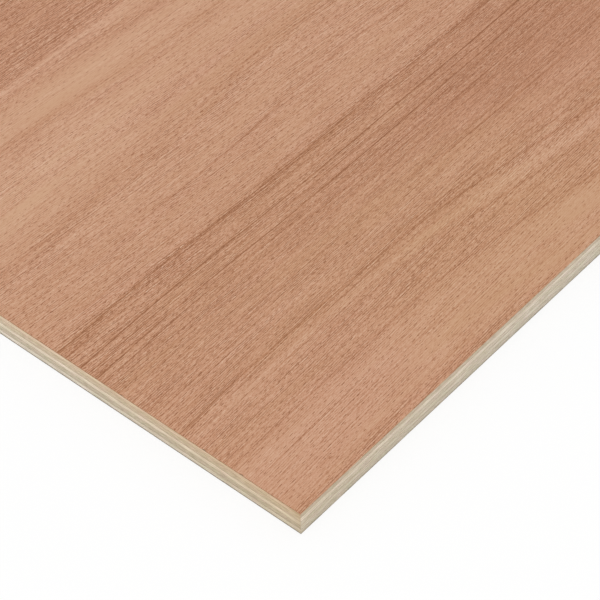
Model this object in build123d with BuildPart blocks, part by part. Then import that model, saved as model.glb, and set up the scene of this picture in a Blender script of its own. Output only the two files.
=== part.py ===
from build123d import *
import os

# A sheet of plywood: seven veneers glued face to face, the grain of each one at right
# angles to the next. The sheet lies on its back with its good face up.
# Origin: middle of the underside. X: along the face grain. Y: across it. Z: up.

# Driving dimensions in millimetres

sheet_length = 1220.0
sheet_width = 610.0

# The face and the back are thin sliced hardwood, the inner plies thicker peeled softer wood
face_veneer_thickness = 0.6
back_veneer_thickness = 0.6
crossband_thickness = 2.0
long_ply_thickness = 2.4

# The stack from the floor up: each ply's name and thickness

ply_stack = [
    ("back_veneer", back_veneer_thickness),
    ("lower_crossband", crossband_thickness),
    ("lower_long_ply", long_ply_thickness),
    ("centre_crossband", crossband_thickness),
    ("upper_long_ply", long_ply_thickness),
    ("upper_crossband", crossband_thickness),
    ("face_veneer", face_veneer_thickness),
]

# Each ply lies on the one below it, and all are sawn to size together,
# so every ply has the outline of the sheet

os.makedirs("parts", exist_ok=True)

ply_base = 0.0
for ply_name, ply_thickness in ply_stack:
    with BuildPart() as ply:
        with BuildSketch(Plane.XY.offset(ply_base)):
            Rectangle(sheet_length, sheet_width)
        extrude(amount=ply_thickness)
    ply.part.label = ply_name
    export_step(ply.part, f"parts/{ply_name}.step")
    ply_base += ply_thickness
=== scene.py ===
import bpy
import math
from mathutils import Matrix, Vector


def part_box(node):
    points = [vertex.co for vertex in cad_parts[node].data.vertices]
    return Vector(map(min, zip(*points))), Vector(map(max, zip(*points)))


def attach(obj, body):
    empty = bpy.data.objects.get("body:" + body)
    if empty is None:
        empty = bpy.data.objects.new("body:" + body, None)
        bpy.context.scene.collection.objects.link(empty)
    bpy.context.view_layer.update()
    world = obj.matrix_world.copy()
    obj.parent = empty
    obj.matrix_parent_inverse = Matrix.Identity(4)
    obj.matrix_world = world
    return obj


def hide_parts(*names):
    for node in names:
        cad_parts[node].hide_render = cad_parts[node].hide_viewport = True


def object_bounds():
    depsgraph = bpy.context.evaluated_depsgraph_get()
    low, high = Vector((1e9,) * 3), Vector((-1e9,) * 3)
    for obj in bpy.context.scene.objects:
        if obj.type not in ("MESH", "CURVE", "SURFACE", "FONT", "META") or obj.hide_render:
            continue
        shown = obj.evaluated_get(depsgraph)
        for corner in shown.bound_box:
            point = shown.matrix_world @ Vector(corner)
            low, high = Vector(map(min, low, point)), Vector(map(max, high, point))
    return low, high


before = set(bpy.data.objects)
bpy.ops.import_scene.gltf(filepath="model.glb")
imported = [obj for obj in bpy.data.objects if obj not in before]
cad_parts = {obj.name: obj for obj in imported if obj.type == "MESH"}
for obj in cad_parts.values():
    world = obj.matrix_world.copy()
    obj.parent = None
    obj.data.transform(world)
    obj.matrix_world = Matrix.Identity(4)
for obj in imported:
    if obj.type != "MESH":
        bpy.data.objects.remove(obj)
cad_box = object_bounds()

# Core plies
# Five veneers peeled from a poplar log, each laid with its grain at right angles to the next,
# glued face to face in a hot press and sawn to size together. So every edge of the sheet
# shows long grain and end grain by turns, with a thin dark glue line between.

MM = 0.001

# Each ply's grain, how far its wood has drifted from pale to warm, and its seed of chance
CORE_PLIES = {
    "lower_crossband": {"grain": "across", "tint": 0.58, "seed": 3},
    "lower_long_ply": {"grain": "along", "tint": 0.85, "seed": 14},
    "centre_crossband": {"grain": "across", "tint": 0.2, "seed": 25},
    "upper_long_ply": {"grain": "along", "tint": 0.3, "seed": 36},
    "upper_crossband": {"grain": "across", "tint": 0.45, "seed": 47},
}
# Length of a step along the edge, and how deep the glue line, the saw and torn fibres cut it
EDGE_STEP = 2.0 * MM
GLUE_GROOVE = 0.07 * MM
SAW_RIPPLE = 0.05 * MM
CORE_TEAR = 0.10 * MM


def linear(colour):
    """An sRGB hex colour as the linear colour that a shader takes."""
    channels = [int(colour[i:i + 2], 16) / 255 for i in (1, 3, 5)]
    return [c / 12.92 if c <= 0.04045 else ((c + 0.055) / 1.055) ** 2.4 for c in channels] + [1.0]


def add(tree, kind, inputs=None, stops=(), **settings):
    """Adds a node. Inputs go by name or number, and each is a value, a socket or another node.
    The stops of a colour ramp are each a place from 0 to 1 and a linear colour."""
    node = tree.nodes.new(kind)
    for setting, value in settings.items():
        setattr(node, setting, value)
    for key, value in (inputs or {}).items():
        socket = next(s for i, s in enumerate(node.inputs) if s.enabled and key in (s.name, i))
        if isinstance(value, bpy.types.Node):
            value = next(s for s in value.outputs if s.enabled)
        if isinstance(value, bpy.types.NodeSocket):
            tree.links.new(value, socket)
        else:
            socket.default_value = value
    if stops:
        elements = node.color_ramp.elements
        while len(elements) < len(stops):
            elements.new(1.0)
        for element, (place, colour) in zip(elements, stops):
            element.position = place
            element.color = colour
    return node


# One ply, as the saw leaves it: a flat slab whose edge wanders a little with the saw and the
# torn fibres, and draws in at its two arrises, where the glue line is.
sawn_ply = bpy.data.node_groups.new("Sawn ply", "GeometryNodeTree")
sawn_ply.is_modifier = True
ply_sockets = {}
for socket_name, socket_type in (
    ("Length", "Float"), ("Width", "Float"), ("Thickness", "Float"), ("Base", "Float"),
    ("Edge Step", "Float"), ("Groove", "Float"), ("Saw Ripple", "Float"), ("Tear", "Float"),
    ("Chip Depth", "Float"), ("Seed", "Float"), ("Tint", "Float"),
    ("Top Finish", "Material"), ("Long Edge Finish", "Material"),
    ("Cut Edge Finish", "Material"), ("Underside Finish", "Material"),
):
    socket = sawn_ply.interface.new_socket(
        socket_name, in_out="INPUT", socket_type="NodeSocket" + socket_type)
    ply_sockets[socket_name] = socket.identifier
sawn_ply.interface.new_socket("Ply", in_out="OUTPUT", socket_type="NodeSocketGeometry")

given = sawn_ply.nodes.new("NodeGroupInput").outputs

# The outline, its sides long and short by turns, with a point at each edge step. A side takes
# one cut fewer than it has steps, and the half guards that count against rounding.
outline = add(sawn_ply, "GeometryNodeCurvePrimitiveQuadrilateral",
              {"Width": given["Length"], "Height": given["Width"]})
side_number = add(sawn_ply, "GeometryNodeInputIndex")
is_short_side = add(sawn_ply, "ShaderNodeMath", {0: side_number, 1: 2.0}, operation="MODULO")
side_length = add(sawn_ply, "ShaderNodeMix",
                  {"Factor": is_short_side, "A": given["Length"], "B": given["Width"]})
side_steps = add(sawn_ply, "ShaderNodeMath", {0: side_length, 1: given["Edge Step"]},
                 operation="DIVIDE")
side_cuts = add(sawn_ply, "ShaderNodeMath", {0: side_steps, 1: 0.5}, operation="SUBTRACT")
stepped = add(sawn_ply, "GeometryNodeSubdivideCurve", {"Curve": outline, "Cuts": side_cuts})

# Which way is inward at each point
tangent = add(sawn_ply, "GeometryNodeInputTangent")
inward = add(sawn_ply, "ShaderNodeVectorMath", {0: (0, 0, 1), 1: tangent},
             operation="CROSS_PRODUCT")
stepped = add(sawn_ply, "GeometryNodeStoreNamedAttribute",
              {"Geometry": stepped, "Name": "inward", "Value": inward},
              data_type="FLOAT_VECTOR", domain="POINT")
inward = add(sawn_ply, "GeometryNodeInputNamedAttribute", {"Name": "inward"},
             data_type="FLOAT_VECTOR")

# How far the saw, the torn fibres and the chips take the edge in. A chip is where its noise
# rises past the first of two levels, and it is at its full depth from the second.
RIPPLE_PITCH = 9.0 * MM
TEAR_PITCH = 2.5 * MM
CHIP_PITCH = 5.0 * MM
CHIP_LEVELS = (0.60, 0.68)
here = add(sawn_ply, "GeometryNodeInputPosition")
ripple = add(sawn_ply, "ShaderNodeTexNoise",
             {"Vector": here, "Scale": 1 / RIPPLE_PITCH, "Detail": 2.0})
ripple = add(sawn_ply, "ShaderNodeMath", {0: ripple, 1: given["Saw Ripple"]},
             operation="MULTIPLY")
tear = add(sawn_ply, "ShaderNodeTexNoise",
           {"Vector": here, "W": given["Seed"], "Scale": 1 / TEAR_PITCH, "Detail": 2.0},
           noise_dimensions="4D")
tear = add(sawn_ply, "ShaderNodeMath", {0: tear, 1: given["Tear"], 2: ripple},
           operation="MULTIPLY_ADD")
chip = add(sawn_ply, "ShaderNodeTexNoise",
           {"Vector": here, "W": given["Seed"], "Scale": 1 / CHIP_PITCH, "Detail": 1.0},
           noise_dimensions="4D")
chip = add(sawn_ply, "ShaderNodeMapRange",
           {"Value": chip, "From Min": CHIP_LEVELS[0], "From Max": CHIP_LEVELS[1]},
           interpolation_type="SMOOTHSTEP")
inset = add(sawn_ply, "ShaderNodeMath", {0: chip, 1: given["Chip Depth"], 2: tear},
            operation="MULTIPLY_ADD")
inset = add(sawn_ply, "ShaderNodeMath", {0: inset, 1: given["Groove"]}, operation="ADD")
inset = add(sawn_ply, "ShaderNodeVectorMath", {0: inward, "Scale": inset}, operation="SCALE")
ring = add(sawn_ply, "GeometryNodeSetPosition", {"Geometry": stepped, "Offset": inset})

# The wall: out of the lower groove, up the ply, and into the upper groove
groove_in = add(sawn_ply, "ShaderNodeVectorMath", {0: inward, "Scale": given["Groove"]},
                operation="SCALE")
groove_up = add(sawn_ply, "ShaderNodeCombineXYZ", {"Z": given["Groove"]})
lower_slope = add(sawn_ply, "ShaderNodeVectorMath", {0: groove_up, 1: groove_in},
                  operation="SUBTRACT")
upper_slope = add(sawn_ply, "ShaderNodeVectorMath", {0: groove_up, 1: groove_in}, operation="ADD")
straight = add(sawn_ply, "ShaderNodeMath", {0: given["Groove"], 1: -2.0, 2: given["Thickness"]},
               operation="MULTIPLY_ADD")
straight = add(sawn_ply, "ShaderNodeCombineXYZ", {"Z": straight})
to_base = add(sawn_ply, "ShaderNodeCombineXYZ", {"Z": given["Base"]})
wall = add(sawn_ply, "GeometryNodeCurveToMesh", {"Curve": ring})
wall = add(sawn_ply, "GeometryNodeTransform", {"Geometry": wall, "Translation": to_base})
wall_top = None
for rise in (lower_slope, straight, upper_slope):
    grown = {"Mesh": wall, "Offset": rise, "Offset Scale": 1.0}
    if wall_top:
        grown["Selection"] = wall_top
    wall = add(sawn_ply, "GeometryNodeExtrudeMesh", grown, mode="EDGES")
    wall_top = wall.outputs["Top"]
wall = add(sawn_ply, "GeometryNodeFlipFaces", {"Mesh": wall})

# The two flat faces, closed on to the wall
WELD_REACH = 0.01 * MM
cap = add(sawn_ply, "GeometryNodeFillCurve", {"Curve": ring}, mode="NGONS")
lower_cap = add(sawn_ply, "GeometryNodeTransform", {"Geometry": cap, "Translation": to_base})
lower_cap = add(sawn_ply, "GeometryNodeFlipFaces", {"Mesh": lower_cap})
to_top = add(sawn_ply, "ShaderNodeMath", {0: given["Base"], 1: given["Thickness"]},
             operation="ADD")
to_top = add(sawn_ply, "ShaderNodeCombineXYZ", {"Z": to_top})
upper_cap = add(sawn_ply, "GeometryNodeTransform", {"Geometry": cap, "Translation": to_top})
ply = add(sawn_ply, "GeometryNodeJoinGeometry")
for part in (wall, lower_cap, upper_cap):
    sawn_ply.links.new(part.outputs[0], ply.inputs[0])
ply = add(sawn_ply, "GeometryNodeMergeByDistance", {"Geometry": ply, "Distance": WELD_REACH})
ply = add(sawn_ply, "GeometryNodeStoreNamedAttribute",
          {"Geometry": ply, "Name": "tint", "Value": given["Tint"]},
          data_type="FLOAT", domain="FACE")
ply = add(sawn_ply, "GeometryNodeRealizeInstances", {"Geometry": ply})

# Each face's finish goes by the way it looks: out of a short side, up, down, or out of a long
# side. The slopes of the grooves lean half up or down, so they go with the top or the underside.
LOOKS_ENDWAYS = 0.6
LOOKS_LEVEL = 0.4
facing = add(sawn_ply, "ShaderNodeSeparateXYZ", {0: add(sawn_ply, "GeometryNodeInputNormal")})
along_x = add(sawn_ply, "ShaderNodeMath", {0: facing.outputs["X"]}, operation="ABSOLUTE")
looks_along = add(sawn_ply, "FunctionNodeCompare", {"A": along_x, "B": LOOKS_ENDWAYS},
                  operation="GREATER_THAN")
looks_up = add(sawn_ply, "FunctionNodeCompare", {"A": facing.outputs["Z"], "B": LOOKS_LEVEL},
               operation="GREATER_THAN")
looks_down = add(sawn_ply, "FunctionNodeCompare", {"A": facing.outputs["Z"], "B": -LOOKS_LEVEL},
                 operation="LESS_THAN")
for looks, finish in ((None, "Long Edge Finish"), (looks_along, "Cut Edge Finish"),
                      (looks_up, "Top Finish"), (looks_down, "Underside Finish")):
    choice = {"Geometry": ply, "Material": given[finish]}
    if looks:
        choice["Selection"] = looks
    ply = add(sawn_ply, "GeometryNodeSetMaterial", choice)
add(sawn_ply, "NodeGroupOutput", {0: ply})


def lay_ply(node, sizes, finishes):
    """Makes one ply inside its place in the frame, as a plain mesh."""
    low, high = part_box(node)
    piece = bpy.data.objects.new("sawn_" + node, bpy.data.meshes.new("sawn_" + node))
    bpy.context.scene.collection.objects.link(piece)
    modifier = piece.modifiers.new("Sawn ply", "NODES")
    modifier.node_group = sawn_ply
    place = {"Length": high.x - low.x, "Width": high.y - low.y,
             "Thickness": high.z - low.z, "Base": low.z}
    for name, value in (place | sizes | finishes).items():
        modifier[ply_sockets[name]] = value
    evaluated = piece.evaluated_get(bpy.context.evaluated_depsgraph_get())
    mesh = bpy.data.meshes.new_from_object(evaluated)
    mesh.materials.pop(index=list(mesh.materials).index(None))
    piece.modifiers.remove(modifier)
    piece.data = mesh
    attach(piece, "root")
    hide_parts(node)
    return piece


# How a ply's map is shared out for baking. A core ply's four edges are cut into rows so that
# they show in detail. Rows fill the map from below, and faces that nobody sees get a corner.
EDGE_ROWS = 6
WALL_COUNT = 4
ROWS_SHARE = 0.98
ROW_START_SHARE = 0.03
ROW_LENGTH_SHARE = 0.95
ROW_GAP_SHARE = 0.1
ROW_FILL_SHARE = 0.8
FACE_TOP_SHARE = 0.99
HIDDEN_SHARE = 0.02
LIES_FLAT = 0.9


def lay_out_for_baking(piece, face_share, face_up=True):
    """Gives the piece a map in which its good face has the upper share and the sawn edges,
    cut into rows one above the other, have the rest."""
    mesh = piece.data
    low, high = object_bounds()
    span = high - low
    rows = EDGE_ROWS if face_share == 0.0 else 1
    row_height = (ROWS_SHARE - face_share) / (WALL_COUNT * rows)
    base = min(v.co.z for v in mesh.vertices)
    thickness = max(v.co.z for v in mesh.vertices) - base
    layer = mesh.uv_layers.new(name="OFBake")
    for polygon in mesh.polygons:
        normal = polygon.normal
        middle = polygon.center - low
        on_edge = abs(normal.z) < LIES_FLAT
        on_short_side = abs(normal.x) > abs(normal.y)
        if on_short_side:
            wall = 0 if normal.x < 0 else 1
        else:
            wall = 2 if normal.y < 0 else 3
        row_length = (span.y if on_short_side else span.x) / rows
        along = middle.y if on_short_side else middle.x
        row = min(int(along / row_length), rows - 1)
        for loop in polygon.loop_indices:
            point = mesh.vertices[mesh.loops[loop].vertex_index].co - low
            if on_edge:
                along = (point.y if on_short_side else point.x) - row * row_length
                up = (point.z + low.z - base) / thickness
                u = ROW_START_SHARE + ROW_LENGTH_SHARE * along / row_length
                v = (wall * rows + row + ROW_GAP_SHARE + ROW_FILL_SHARE * up) * row_height
            else:
                u = point.x / span.x
                v = point.y / span.y
                if face_share and (normal.z > 0) == face_up:
                    v = FACE_TOP_SHARE - face_share + face_share * v
                else:
                    u = HIDDEN_SHARE * u
                    v = HIDDEN_SHARE * v
            layer.data[loop].uv = (u, v)


# Poplar, peeled and sawn: pale cream wood, dull and a little furry from the saw. Along the grain
# it shows long faint flecks. Across it the cut ends of the vessels make it darker, greyer and
# speckled, in soft patches. The vessels are too fine to show, so the specks are drawn coarser.
POPLAR_LONG_GRAIN = ("#EAE1D8", "#D4CBBE", "#BEB3A0")
POPLAR_END_GRAIN = ("#D5CBBF", "#C5BBAB", "#B1A797")
# Where the palest and the warmest ply start among those tones, from 0 to 1
PLY_TONES = (0.25, 0.75)
FLECK_WEIGHT = 1.7
PATCH_WEIGHT = 0.35
# Blotches between pinkish and olive: their length and height in mm
BLOTCH_SIZE = (5.0, 1.2)
BLOTCH_CASTS = ((0.35, "#FFFBFB"), (0.65, "#FBFFF7"))
# A painted reflection of the red face veneer, warming the plies' edges from the underside up to it
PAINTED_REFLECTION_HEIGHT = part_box("face_veneer")[0].z
PAINTED_REFLECTION_CASTS = ((0.0, "#FFFFFF"), (0.5, "#FFF7ED"), (0.88, "#FCEBD9"), (1.0, "#F9E4D0"))
# Painted shade darkens the edges for this far from the near corner, which lies here along them
PAINTED_SHADE_REACH = 120.0 * MM
PAINTED_SHADE_START = cad_box[0].x + cad_box[0].y
PAINTED_SHADE_CASTS = ((0.0, "#F5F0E6"), (1.0, "#FFFFFF"))
SAWN_ROUGHNESS = (0.68, 0.84)
SAWN_FUR = 0.1 * MM
SAWN_FUR_STRENGTH = 0.5
WOOD_IOR = 1.5


def sawn_edge(name, tones, fleck, patch, painted_light_share=0.0):
    """Wood on a sawn edge, in three tones from pale to dark. A fleck's and a patch's length and
    height are in mm, and the last argument is the share of the painted reflection of the face
    veneer and of the painted shade near the corner that it takes."""
    material = bpy.data.materials.new(name)
    material.use_nodes = True
    tree = material.node_tree
    shader = tree.nodes["Principled BSDF"]
    place = add(tree, "ShaderNodeTexCoord").outputs["Object"]
    along = add(tree, "ShaderNodeVectorMath", {0: place, 1: (1, 1, 0)}, operation="DOT_PRODUCT")
    height = add(tree, "ShaderNodeSeparateXYZ", {0: place}).outputs["Z"]
    edge = add(tree, "ShaderNodeCombineXYZ", {"X": along, "Y": height})
    tint = add(tree, "ShaderNodeAttribute", attribute_name="tint").outputs["Fac"]
    tone = add(tree, "ShaderNodeMapRange",
               {"Value": tint, "To Min": PLY_TONES[0], "To Max": PLY_TONES[1]})
    for size, weight in ((fleck, FLECK_WEIGHT), (patch, PATCH_WEIGHT)):
        scale = (1 / (size[0] * MM), 1 / (size[1] * MM), 0)
        cells = add(tree, "ShaderNodeVectorMath", {0: edge, 1: scale}, operation="MULTIPLY")
        noise = add(tree, "ShaderNodeTexNoise", {"Vector": cells, "Scale": 1.0, "Detail": 3.0},
                    noise_dimensions="2D")
        noise = add(tree, "ShaderNodeMath", {0: noise, 1: 0.5}, operation="SUBTRACT")
        tone = add(tree, "ShaderNodeMath", {0: noise, 1: weight, 2: tone},
                   operation="MULTIPLY_ADD")
    colour = add(tree, "ShaderNodeValToRGB", {"Fac": tone},
                 stops=[(number / 2, linear(shade)) for number, shade in enumerate(tones)])

    # The blotches, the painted reflection of the veneer and the painted shade near the corner each
    # tinge that colour
    scale = (1 / (BLOTCH_SIZE[0] * MM), 1 / (BLOTCH_SIZE[1] * MM), 0)
    cells = add(tree, "ShaderNodeVectorMath", {0: edge, 1: scale}, operation="MULTIPLY")
    blotch = add(tree, "ShaderNodeTexNoise", {"Vector": cells, "Scale": 1.0, "Detail": 2.0},
                 noise_dimensions="2D")
    painted_reflection = add(tree, "ShaderNodeMapRange", {"Value": height, "From Max": PAINTED_REFLECTION_HEIGHT})
    painted_shade = add(tree, "ShaderNodeMapRange",
                 {"Value": along, "From Min": PAINTED_SHADE_START, "From Max": PAINTED_SHADE_START + PAINTED_SHADE_REACH})
    for where, casts, share in ((blotch, BLOTCH_CASTS, 1.0), (painted_reflection, PAINTED_REFLECTION_CASTS, painted_light_share),
                                (painted_shade, PAINTED_SHADE_CASTS, painted_light_share)):
        cast = add(tree, "ShaderNodeValToRGB", {"Fac": where},
                   stops=[(stop, linear(shade)) for stop, shade in casts])
        colour = add(tree, "ShaderNodeMix", {"Factor": share, "A": colour, "B": cast},
                     data_type="RGBA", blend_type="MULTIPLY")
    tree.links.new(next(s for s in colour.outputs if s.enabled), shader.inputs["Base Color"])

    # Darker wood is softer, so the saw leaves it lower and more furry
    roughness = add(tree, "ShaderNodeMapRange",
                    {"Value": tone, "To Min": SAWN_ROUGHNESS[0], "To Max": SAWN_ROUGHNESS[1]})
    tree.links.new(roughness.outputs["Result"], shader.inputs["Roughness"])
    bump = add(tree, "ShaderNodeBump",
               {"Height": tone, "Strength": SAWN_FUR_STRENGTH, "Distance": -SAWN_FUR})
    tree.links.new(bump.outputs["Normal"], shader.inputs["Normal"])
    shader.inputs["IOR"].default_value = WOOD_IOR
    return material


# Flecks and patches of the two grains, on the long edges and on the cut edges of the sheet
poplar = {}
# The long edges take half of the painted reflection and the painted shade, the cut edges all
for edge_name, painted_light_share in (("long edge", 0.5), ("cut edge", 1.0)):
    poplar["long grain", edge_name] = sawn_edge(
        "Poplar long grain, " + edge_name, POPLAR_LONG_GRAIN,
        fleck=(9.0, 0.7), patch=(90.0, 2.0), painted_light_share=painted_light_share)
    poplar["end grain", edge_name] = sawn_edge(
        "Poplar end grain, " + edge_name, POPLAR_END_GRAIN,
        fleck=(3.0, 0.7), patch=(18.0, 2.5), painted_light_share=painted_light_share)

# Urea glue with a wheat-flour filler, squeezed thin in the press: brown, in blotches where it is
# thicker or thinner, and slightly glossy where it has set as a skin.
GLUE_BLOTCH = 6.0 * MM
GLUE_TONES = ((0.3, "#9C866C"), (0.7, "#B59F84"))
GLUE_ROUGHNESS = (0.45, 0.65)
glue_film = bpy.data.materials.new("Glue film")
glue_film.use_nodes = True
tree = glue_film.node_tree
shader = tree.nodes["Principled BSDF"]
place = add(tree, "ShaderNodeTexCoord").outputs["Object"]
blotch = add(tree, "ShaderNodeTexNoise",
             {"Vector": place, "Scale": 1 / GLUE_BLOTCH, "Detail": 3.0})
colour = add(tree, "ShaderNodeValToRGB", {"Fac": blotch},
             stops=[(stop, linear(shade)) for stop, shade in GLUE_TONES])
tree.links.new(colour.outputs["Color"], shader.inputs["Base Color"])
roughness = add(tree, "ShaderNodeMapRange",
                {"Value": blotch, "To Min": GLUE_ROUGHNESS[0], "To Max": GLUE_ROUGHNESS[1]})
tree.links.new(roughness.outputs["Result"], shader.inputs["Roughness"])

# A ply shows long grain on the edges that its grain runs along, and end grain on the other two
for node, ply_kind in CORE_PLIES.items():
    grains = ["long grain", "end grain"]
    if ply_kind["grain"] == "across":
        grains.reverse()
    piece = lay_ply(node, {
        "Edge Step": EDGE_STEP, "Groove": GLUE_GROOVE,
        "Saw Ripple": SAW_RIPPLE, "Tear": CORE_TEAR, "Chip Depth": 0.0,
        "Seed": float(ply_kind["seed"]), "Tint": ply_kind["tint"],
    }, {
        "Top Finish": glue_film, "Underside Finish": glue_film,
        "Long Edge Finish": poplar[grains[0], "long edge"],
        "Cut Edge Finish": poplar[grains[1], "cut edge"],
    })
    lay_out_for_baking(piece, 0.0)

# Face and back veneers
# Thin sheets sliced from a reddish tropical hardwood, glued to the outer crossbands with their
# grain along the sheet and sanded smooth. The face is the better one, of one wide leaf. The back
# is a greyer wood of a lower grade, and its sawn edges are drawn darker as painted shadow where
# the sheet meets the floor.

VENEER_STEP = 0.5 * MM
VENEER_CHIP = 0.4 * MM
VENEER_TINT = 0.5
# How much of a veneer's map its face takes
VENEER_FACE_SHARE = 0.94

# All sizes of the figure are in mm from the near corner of the sheet, along and across the grain.
# Where the rings swell: the middle and the reach of each swelling, and its height. A swelling
# has died out at this many times its reach.
RING_SWELLS = (
    ((269, 21), (103, 43), 20),
    ((176, 210), (62, 21), 10),
    ((207, 163), (57, 21), -8),
    ((155, 112), (124, 31), 4),
)
SWELL_END = 1.8
# Slow wanders of the rings: their length and width, and how far they reach
RING_WANDERS = (((413, 144.5), 12.4), ((93, 41), 2))
HALF_LEAF = 305.0
# Tone of the figure by the distance from the near long edge, from 0 dark to 1 pale
FIGURE_BANDS = (
    (0, 0.50), (5, 0.58), (28, 0.61), (35, 0.55), (48, 0.52), (54.5, 0.58), (60, 0.49),
    (70.5, 0.56), (79, 0.52), (89, 0.52), (95, 0.49), (104.5, 0.51), (109.5, 0.50), (115, 0.53),
    (118, 0.47), (122, 0.46), (123.5, 0.58), (155, 0.59), (160, 0.55), (176, 0.62), (196, 0.65),
    (209, 0.58), (218, 0.67), (227, 0.57), (231.5, 0.64), (234.5, 0.53), (244, 0.48), (270, 0.49),
    (294, 0.55), (305, 0.50),
)
# Ring lines: distance from the near long edge and half width, and how much darker
RING_LINES = (
    (121, 0.5, 0.34), (110, 0.45, 0.54), (106, 0.4, 0.16), (102, 0.45, 0.46), (98.5, 0.4, 0.20),
    (91, 0.5, 0.14), (79, 0.5, 0.12), (60, 0.5, 0.24), (35, 0.5, 0.20), (209.5, 0.7, 0.12),
    (163, 0.9, 0.08), (234, 0.8, 0.10), (116, 0.9, -0.05), (157, 1.8, -0.05), (54, 1.6, -0.05),
    (231.5, 1.2, -0.05), (70.5, 1.2, -0.05),
)
# Patches: middle and reach, then how much paler and how much yellower. A patch fades from the
# first to the second of these times its reach.
WOOD_PATCHES = (
    ((57, 188), (64, 15.5), 0.04, 0.10),
    ((155, 186), (46, 19), -0.02, 0.05),
    ((150, 24), (75, 32), -0.01, 0.42),
    ((42, 19), (62, 16.5), 0.00, -0.05),
    ((266, 88), (88, 31), -0.09, -0.30),
    ((134, 64), (90, 20), 0.00, 0.25),
    ((134, 258), (155, 29), 0.00, -0.20),
    ((196, 46.5), (32, 10), 0.07, 0.00),
)
PATCH_FADE = (0.4, 1.3)
# How yellow the wood is to start with, and its yellower streaks: length and width, and how much
YELLOW_START = 0.18
YELLOW_STREAK = (165, 14.45)
YELLOW_WEIGHT = 1.2
# The fibres' slope at the near side and at the far side of where they turn, from and to, the
# length of their slow sway, and the length, width and reach of their small wanders
FIBRE_TURN = (41.0, 139.0)
FIBRE_SLOPES = (0.04, -0.078)
FIBRE_SWAY = 300.0
FIBRE_WANDER = (14, 3)
FIBRE_WANDER_REACH = 0.5
# Fibre layers: length and width, detail, roughness and weight. A fibre of a fiftieth of a
# millimetre would not show, so the finest layers are drawn about a third of a millimetre wide.
FIBRE_LAYERS = (
    ((268, 9.3), 4.0, 0.95, 0.13),
    ((16.5, 0.33), 0.0, 0.5, 0.26),
    ((2.2, 0.30), 0.0, 0.5, 0.34),
    ((0.7, 0.35), 0.0, 0.5, 0.34),
)
# The noises' own lattice is turned out of line with the grain, so that its rows do not show
CELL_TURN = math.radians(33)
# How strong fibres and lines are in a dark and in a pale band, the tones of those two bands, how
# much they fade where the wood is yellow, and what is left of them by the distance from the near
# long edge, where the sander has bitten more or less
GRAIN_STRENGTHS = (1.57, 0.56)
GRAIN_BANDS = (0.458, 0.62)
YELLOW_FADE = 1.68
GRAIN_SHARES = ((30, 0.73), (130, 1.0), (232, 0.95), (255, 0.70))
# Rows of lines: spacing and half width, how much darker, length of a dash, and where the noise
# that breaks the row starts and ends as a dash. The last rows are the open pores, at their real
# width, and the fibres' rows are drawn coarser than fibres are, so that they show.
LATE_WOOD_ROWS = (
    (9.0, 0.60, 0.14, 200.0, 0.45, 0.65),
    (3.6, 0.40, 0.22, 120.0, 0.46, 0.64),
)
FIBRE_ROWS = (
    (0.85, 0.19, 0.70, 30.0, 0.36, 0.60),
    (0.58, 0.13, 0.85, 2.8, 0.50, 0.62),
    (1.30, 0.18, -0.30, 8.0, 0.45, 0.62),
    (2.10, 0.16, 2.00, 2.6, 0.57, 0.63),
)
# Where across its row a line may lie, and how far along the noise the next row takes its dashes
LINE_PLACES = (0.25, 0.75)
ROW_SHIFT = 13.71
# Sanding leaves the wood dull with a soft sheen, and the pores open, rougher and darker
PORE_DEPTH = 0.1 * MM
PORE_STRENGTH = 0.2
SANDED_ROUGHNESS = (0.74, 0.54)


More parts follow.
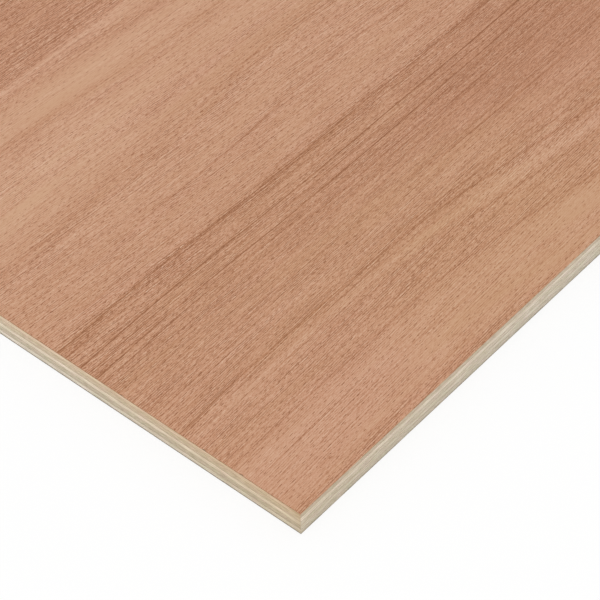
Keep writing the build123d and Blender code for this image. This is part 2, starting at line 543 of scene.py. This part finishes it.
def sliced_hardwood(name, corner, red_tones, yellow_tones):
    """A sliced and sanded hardwood face. The corner is where its figure starts, in mm."""
    material = bpy.data.materials.new(name)
    material.use_nodes = True
    tree = material.node_tree
    shader = tree.nodes["Principled BSDF"]
    place = add(tree, "ShaderNodeTexCoord").outputs["Object"]
    place = add(tree, "ShaderNodeMapping",
                {"Vector": place, "Location": (corner[0], corner[1], 0),
                 "Scale": (1 / MM, 1 / MM, 0)})
    along, across, _ = add(tree, "ShaderNodeSeparateXYZ", {0: place}).outputs

    # The growth rings wander along the leaf, and swell round hidden bends of the stem
    ring = across
    for middle, reach, shift in RING_SWELLS:
        offset = add(tree, "ShaderNodeVectorMath", {0: place, 1: (*middle, 0)},
                     operation="SUBTRACT")
        offset = add(tree, "ShaderNodeVectorMath", {0: offset, 1: (*reach, 1)},
                     operation="DIVIDE")
        away = add(tree, "ShaderNodeVectorMath", {0: offset}, operation="LENGTH")
        near = add(tree, "ShaderNodeMapRange",
                   {"Value": away, "From Max": SWELL_END, "To Min": 1.0, "To Max": 0.0},
                   interpolation_type="SMOOTHSTEP")
        ring = add(tree, "ShaderNodeMath", {0: near, 1: shift, 2: ring}, operation="MULTIPLY_ADD")
    for size, shift in RING_WANDERS:
        cells = add(tree, "ShaderNodeVectorMath", {0: place, 1: (1 / size[0], 1 / size[1], 0)},
                    operation="MULTIPLY")
        noise = add(tree, "ShaderNodeTexNoise", {"Vector": cells, "Scale": 1.0, "Detail": 2.0},
                    noise_dimensions="2D")
        noise = add(tree, "ShaderNodeMath", {0: noise, 1: 0.5}, operation="SUBTRACT")
        ring = add(tree, "ShaderNodeMath", {0: noise, 1: shift, 2: ring}, operation="MULTIPLY_ADD")

    # The broad bands of the figure, the far half of the leaf mirroring the near one
    half = add(tree, "ShaderNodeMath", {0: ring, 1: HALF_LEAF}, operation="PINGPONG")
    share = add(tree, "ShaderNodeMath", {0: half, 1: HALF_LEAF}, operation="DIVIDE")
    bands = add(tree, "ShaderNodeValToRGB", {"Fac": share},
                stops=[(at / HALF_LEAF, (level, level, level, 1.0)) for at, level in FIGURE_BANDS])
    tone = bands
    hue = YELLOW_START

    # Its thin dark late-wood lines and light early-wood ones
    for at, width, depth in RING_LINES:
        away = add(tree, "ShaderNodeMath", {0: half, 1: at}, operation="SUBTRACT")
        away = add(tree, "ShaderNodeMath", {0: away}, operation="ABSOLUTE")
        line = add(tree, "ShaderNodeMapRange",
                   {"Value": away, "From Max": width, "To Min": -depth, "To Max": 0.0},
                   interpolation_type="SMOOTHSTEP")
        tone = add(tree, "ShaderNodeMath", {0: tone, 1: line}, operation="ADD")

    # Patches where the wood is paler or darker, redder or yellower
    for middle, reach, tone_shift, hue_shift in WOOD_PATCHES:
        offset = add(tree, "ShaderNodeVectorMath", {0: place, 1: (*middle, 0)},
                     operation="SUBTRACT")
        offset = add(tree, "ShaderNodeVectorMath", {0: offset, 1: (*reach, 1)},
                     operation="DIVIDE")
        away = add(tree, "ShaderNodeVectorMath", {0: offset}, operation="LENGTH")
        near = add(tree, "ShaderNodeMapRange",
                   {"Value": away, "From Min": PATCH_FADE[0], "From Max": PATCH_FADE[1],
                    "To Min": 1.0, "To Max": 0.0}, interpolation_type="SMOOTHSTEP")
        tone = add(tree, "ShaderNodeMath", {0: near, 1: tone_shift, 2: tone},
                   operation="MULTIPLY_ADD")
        hue = add(tree, "ShaderNodeMath", {0: near, 1: hue_shift, 2: hue},
                  operation="MULTIPLY_ADD")

    # Yellower streaks along the rings
    ring_lie = add(tree, "ShaderNodeCombineXYZ", {"X": along, "Y": ring})
    cells = add(tree, "ShaderNodeVectorMath",
                {0: ring_lie, 1: (1 / YELLOW_STREAK[0], 1 / YELLOW_STREAK[1], 0)},
                operation="MULTIPLY")
    noise = add(tree, "ShaderNodeTexNoise",
                {"Vector": cells, "Scale": 1.0, "Detail": 4.0, "Roughness": 0.8},
                noise_dimensions="2D")
    yellowing = add(tree, "ShaderNodeMath", {0: noise, 1: 0.5}, operation="SUBTRACT")
    hue = add(tree, "ShaderNodeMath", {0: yellowing, 1: YELLOW_WEIGHT, 2: hue},
              operation="MULTIPLY_ADD")

    # The fibres lie nearly straight along the leaf, and slope from one growth layer to the next
    slope = add(tree, "ShaderNodeMapRange",
                {"Value": across, "From Min": FIBRE_TURN[0], "From Max": FIBRE_TURN[1],
                 "To Min": FIBRE_SLOPES[0], "To Max": FIBRE_SLOPES[1]},
                interpolation_type="SMOOTHSTEP")
    sway = add(tree, "ShaderNodeMath", {0: along, 1: FIBRE_SWAY}, operation="DIVIDE")
    sway = add(tree, "ShaderNodeMath", {0: sway}, operation="SINE")
    sway = add(tree, "ShaderNodeMath", {0: sway, 1: slope}, operation="MULTIPLY")
    fibre = add(tree, "ShaderNodeMath", {0: sway, 1: -FIBRE_SWAY, 2: across},
                operation="MULTIPLY_ADD")
    cells = add(tree, "ShaderNodeVectorMath",
                {0: place, 1: (1 / FIBRE_WANDER[0], 1 / FIBRE_WANDER[1], 0)},
                operation="MULTIPLY")
    noise = add(tree, "ShaderNodeTexNoise", {"Vector": cells, "Scale": 1.0, "Detail": 1.0},
                noise_dimensions="2D")
    fibre = add(tree, "ShaderNodeMath", {0: noise, 1: FIBRE_WANDER_REACH, 2: fibre},
                operation="MULTIPLY_ADD")
    fibre_lie = add(tree, "ShaderNodeCombineXYZ", {"X": along, "Y": fibre})

    # Fibres and lines stand out most in the dark bands and where the wood is red
    strength = add(tree, "ShaderNodeMapRange",
                   {"Value": bands, "From Min": GRAIN_BANDS[0], "From Max": GRAIN_BANDS[1],
                    "To Min": GRAIN_STRENGTHS[0], "To Max": GRAIN_STRENGTHS[1]})
    strength = add(tree, "ShaderNodeMath", {0: yellowing, 1: -YELLOW_FADE, 2: strength},
                   operation="MULTIPLY_ADD")
    left = add(tree, "ShaderNodeValToRGB", {"Fac": share},
               stops=[(at / HALF_LEAF, (level, level, level, 1.0)) for at, level in GRAIN_SHARES])
    strength = add(tree, "ShaderNodeMath", {0: strength, 1: left}, operation="MULTIPLY")

    # Fibres: each layer is a noise drawn out along the grain
    for size, detail, roughness, weight in FIBRE_LAYERS:
        cells = add(tree, "ShaderNodeMapping",
                    {"Vector": fibre_lie, "Rotation": (0, 0, CELL_TURN),
                     "Scale": (1 / size[0], 1 / size[1], 1)})
        noise = add(tree, "ShaderNodeTexNoise",
                    {"Vector": cells, "Scale": 1.0, "Detail": detail, "Roughness": roughness},
                    noise_dimensions="2D")
        noise = add(tree, "ShaderNodeMath", {0: noise, 1: 0.5}, operation="SUBTRACT")
        noise = add(tree, "ShaderNodeMath", {0: noise, 1: strength}, operation="MULTIPLY")
        tone = add(tree, "ShaderNodeMath", {0: noise, 1: weight, 2: tone},
                   operation="MULTIPLY_ADD")

    # Thin lines in rows, each row broken into dashes at random: late wood, fibres, open pores
    row_kinds = [(ring, rows) for rows in LATE_WOOD_ROWS] + [(fibre, rows) for rows in FIBRE_ROWS]
    for lie, (spacing, half_width, weight, dash, start, end) in row_kinds:
        rows = add(tree, "ShaderNodeMath", {0: lie, 1: spacing}, operation="DIVIDE")
        row = add(tree, "ShaderNodeMath", {0: rows}, operation="FLOOR")
        within = add(tree, "ShaderNodeMath", {0: rows}, operation="FRACT")
        chance = add(tree, "ShaderNodeTexWhiteNoise", {"W": row}, noise_dimensions="1D")
        middle = add(tree, "ShaderNodeMapRange",
                     {"Value": chance, "To Min": LINE_PLACES[0], "To Max": LINE_PLACES[1]})
        away = add(tree, "ShaderNodeMath", {0: within, 1: middle}, operation="SUBTRACT")
        away = add(tree, "ShaderNodeMath", {0: away}, operation="ABSOLUTE")
        lines = add(tree, "ShaderNodeMapRange",
                    {"Value": away, "From Max": half_width / spacing, "To Min": 1.0, "To Max": 0.0},
                    interpolation_type="SMOOTHSTEP")
        dashes = add(tree, "ShaderNodeMath", {0: along, 1: dash}, operation="DIVIDE")
        dashes = add(tree, "ShaderNodeMath", {0: row, 1: ROW_SHIFT, 2: dashes},
                     operation="MULTIPLY_ADD")
        dashes = add(tree, "ShaderNodeTexNoise", {"W": dashes, "Scale": 1.0, "Detail": 1.0},
                     noise_dimensions="1D")
        dashes = add(tree, "ShaderNodeMapRange",
                     {"Value": dashes, "From Min": start, "From Max": end})
        lines = add(tree, "ShaderNodeMath", {0: lines, 1: dashes}, operation="MULTIPLY")
        lines = add(tree, "ShaderNodeMath", {0: lines, 1: strength}, operation="MULTIPLY")
        tone = add(tree, "ShaderNodeMath", {0: lines, 1: -weight, 2: tone},
                   operation="MULTIPLY_ADD")
    pores = lines

    redder = add(tree, "ShaderNodeValToRGB", {"Fac": tone},
                 stops=[(stop, linear(shade)) for stop, shade in red_tones])
    yellower = add(tree, "ShaderNodeValToRGB", {"Fac": tone},
                   stops=[(stop, linear(shade)) for stop, shade in yellow_tones])
    colour = add(tree, "ShaderNodeMix", {"Factor": hue, "A": redder, "B": yellower},
                 data_type="RGBA")
    tree.links.new(next(s for s in colour.outputs if s.enabled), shader.inputs["Base Color"])
    bump = add(tree, "ShaderNodeBump",
               {"Height": pores, "Strength": PORE_STRENGTH, "Distance": -PORE_DEPTH})
    tree.links.new(bump.outputs["Normal"], shader.inputs["Normal"])
    roughness = add(tree, "ShaderNodeMapRange",
                    {"Value": tone, "To Min": SANDED_ROUGHNESS[0], "To Max": SANDED_ROUGHNESS[1]})
    tree.links.new(roughness.outputs["Result"], shader.inputs["Roughness"])
    shader.inputs["IOR"].default_value = WOOD_IOR
    return material


# Colour of the wood from the bottom of a pore to the palest early wood, redder and yellower
RED_TONES = (
    (0.0, "#8E5A39"), (0.2, "#AE7754"), (0.5, "#C39072"), (0.7, "#CEA285"), (1.0, "#E0BCA0"),
)
YELLOW_TONES = (
    (0.0, "#8C5A34"), (0.2, "#AB764D"), (0.5, "#BF906A"), (0.7, "#CBA37E"), (1.0, "#DEBC99"),
)
GREY_TONES = ((0.0, "#8D8070"), (0.5, "#B5A897"), (1.0, "#D4CABA"))
OLIVE_TONES = ((0.0, "#8A8069"), (0.5, "#B2A88F"), (1.0, "#D2CBB5"))
# The back shows another part of the same figure, this far along and across in mm
BACK_SHIFT = (700, 40)
near_corner = (-cad_box[0].x / MM, -cad_box[0].y / MM)
back_corner = (near_corner[0] + BACK_SHIFT[0], near_corner[1] + BACK_SHIFT[1])
face_hardwood = sliced_hardwood("Sliced red hardwood", near_corner, RED_TONES, YELLOW_TONES)
back_hardwood = sliced_hardwood("Sliced grey hardwood", back_corner, GREY_TONES, OLIVE_TONES)

# The same two woods, sawn through: long dark streaks where the saw runs along the grain, and
# specks of cut pores where it runs across
STREAK = (10.0, 0.3)
SPECK = (0.8, 0.4)
HARDWOOD_PATCH = (30.0, 3.0)
red_long_edge = sawn_edge(
    "Red hardwood, long edge", ("#DAAE8F", "#BA8865", "#8A5A43"), STREAK, HARDWOOD_PATCH)
red_cut_edge = sawn_edge(
    "Red hardwood, cut edge", ("#CCA081", "#A87857", "#744C35"), SPECK, HARDWOOD_PATCH)
# The back veneer's edges: grey wood of a lower grade, drawn darker as painted shadow along the
# bottom of the sheet, the cut edge most
grey_long_edge_and_painted_shadow = sawn_edge(
    "Grey hardwood and painted shadow, long edge", ("#C9BDAB", "#9D9181", "#6D6151"), STREAK, HARDWOOD_PATCH)
grey_cut_edge_and_painted_shadow = sawn_edge(
    "Grey hardwood and painted shadow, cut edge", ("#AEA18E", "#83786A", "#554A3E"), SPECK, HARDWOOD_PATCH)

face_veneer = lay_ply("face_veneer", {
    "Edge Step": VENEER_STEP, "Groove": GLUE_GROOVE,
    "Saw Ripple": SAW_RIPPLE, "Tear": CORE_TEAR, "Chip Depth": VENEER_CHIP,
    "Seed": 58.0, "Tint": VENEER_TINT,
}, {
    "Top Finish": face_hardwood, "Underside Finish": glue_film,
    "Long Edge Finish": red_long_edge, "Cut Edge Finish": red_cut_edge,
})
lay_out_for_baking(face_veneer, VENEER_FACE_SHARE)

back_veneer = lay_ply("back_veneer", {
    "Edge Step": VENEER_STEP, "Groove": GLUE_GROOVE,
    "Saw Ripple": SAW_RIPPLE, "Tear": CORE_TEAR, "Chip Depth": 0.0,
    "Seed": 69.0, "Tint": VENEER_TINT,
}, {
    "Top Finish": glue_film, "Underside Finish": back_hardwood,
    "Long Edge Finish": grey_long_edge_and_painted_shadow, "Cut Edge Finish": grey_cut_edge_and_painted_shadow,
})
lay_out_for_baking(back_veneer, VENEER_FACE_SHARE, face_up=False)

# Floor
# A wide sheet of matt white paper just under the object. The camera sees most of it as plain
# white, and the rest as paper with the object's shadow on it.

FLOOR_SIZE = 60.0
FLOOR_DROP = 0.2 * MM
PAPER_WHITE_SHARE = 0.8


def seen_as_backdrop(tree):
    """1 for what the camera sees straight, in a gloss or through glass, and 0 for the rest."""
    path = add(tree, "ShaderNodeLightPath").outputs
    seen = add(tree, "ShaderNodeMath", {0: path["Is Camera Ray"], 1: path["Is Glossy Ray"]},
               operation="ADD")
    return add(tree, "ShaderNodeMath", {0: seen, 1: path["Is Transmission Ray"]},
               operation="ADD", use_clamp=True)


floor_mesh = bpy.data.meshes.new("floor")
half = FLOOR_SIZE / 2
floor_mesh.from_pydata(
    [(x, y, -FLOOR_DROP) for x, y in ((-half, -half), (half, -half), (half, half), (-half, half))],
    [], [(0, 1, 2, 3)])
floor = bpy.data.objects.new("floor", floor_mesh)
bpy.context.scene.collection.objects.link(floor)
paper = bpy.data.materials.new("White paper")
paper.use_nodes = True
tree = paper.node_tree
sheet = tree.nodes["Principled BSDF"]
sheet.inputs["Base Color"].default_value = linear("#FBFBFA")
sheet.inputs["Roughness"].default_value = 0.9
sheet.inputs["Specular IOR Level"].default_value = 0.2
white = add(tree, "ShaderNodeEmission", {"Color": linear("#FFFFFF"), "Strength": 1.0})
share = add(tree, "ShaderNodeMath", {0: seen_as_backdrop(tree), 1: PAPER_WHITE_SHARE},
            operation="MULTIPLY")
blend = add(tree, "ShaderNodeMixShader", {0: share, 1: sheet, 2: white})
tree.links.new(blend.outputs["Shader"], tree.nodes["Material Output"].inputs["Surface"])
floor_mesh.materials.append(paper)

# Light
# A white room that lights the sheet from all round and that the camera sees as plain white, and
# one broad soft lamp from the upper left, as in the photograph.

ROOM_LIGHT = 0.75
ROOM_SEEN = 1.0
LAMP_SIZE = 3.0
LAMP_WATTS = 60.0
LAMP_PLACE = Vector((-2.6, -1.6, 3.0))

scene = bpy.context.scene
world = bpy.data.worlds.new("White studio")
scene.world = world
world.use_nodes = True
tree = world.node_tree
room = tree.nodes["Background"]
room.inputs["Color"].default_value = linear("#FFFFFF")
brightness = add(tree, "ShaderNodeMapRange",
                 {"Value": seen_as_backdrop(tree), "To Min": ROOM_LIGHT, "To Max": ROOM_SEEN})
tree.links.new(brightness.outputs["Result"], room.inputs["Strength"])

lamp_data = bpy.data.lights.new("soft_lamp", "AREA")
lamp_data.shape = "SQUARE"
lamp_data.size = LAMP_SIZE
lamp_data.energy = LAMP_WATTS
lamp = bpy.data.objects.new("soft_lamp", lamp_data)
scene.collection.objects.link(lamp)
lamp.location = LAMP_PLACE
lamp.rotation_euler = (-LAMP_PLACE).to_track_quat("-Z", "Y").to_euler()

# Camera
# It looks down on the near left corner of the sheet, as in the photograph: from far off through
# a long lens, and rolled a little. The aim is measured from that corner of the sheet.

IMAGE_SIZE = 600
FOCAL_PIXELS = 3146.0
SENSOR_WIDTH = 36.0
FARTHEST_SEEN = 200.0
AIM = Vector((78.8, 67.65, 12.0)) * MM
AZIMUTH = math.radians(-48.3)
ELEVATION = math.radians(47.9)
ROLL = math.radians(-1.52)
DISTANCE = 1202.85 * MM

camera_data = bpy.data.cameras.new("camera")
camera_data.sensor_width = SENSOR_WIDTH
camera_data.lens = SENSOR_WIDTH * FOCAL_PIXELS / IMAGE_SIZE
camera_data.clip_end = FARTHEST_SEEN
camera = bpy.data.objects.new("camera", camera_data)
scene.collection.objects.link(camera)
back = Vector((math.sin(AZIMUTH) * math.cos(ELEVATION), -math.cos(AZIMUTH) * math.cos(ELEVATION),
               math.sin(ELEVATION)))
right = (-back).cross(Vector((0, 0, 1))).normalized()
up = right.cross(-back)
turned_right = right * math.cos(ROLL) + up * math.sin(ROLL)
turned_up = up * math.cos(ROLL) - right * math.sin(ROLL)
stand = Vector((cad_box[0].x, cad_box[0].y, 0.0)) + AIM + back * DISTANCE
facing = Matrix((turned_right, turned_up, back)).transposed().to_4x4()
camera.matrix_world = Matrix.Translation(stand) @ facing
scene.camera = camera
scene.view_settings.view_transform = "Standard"
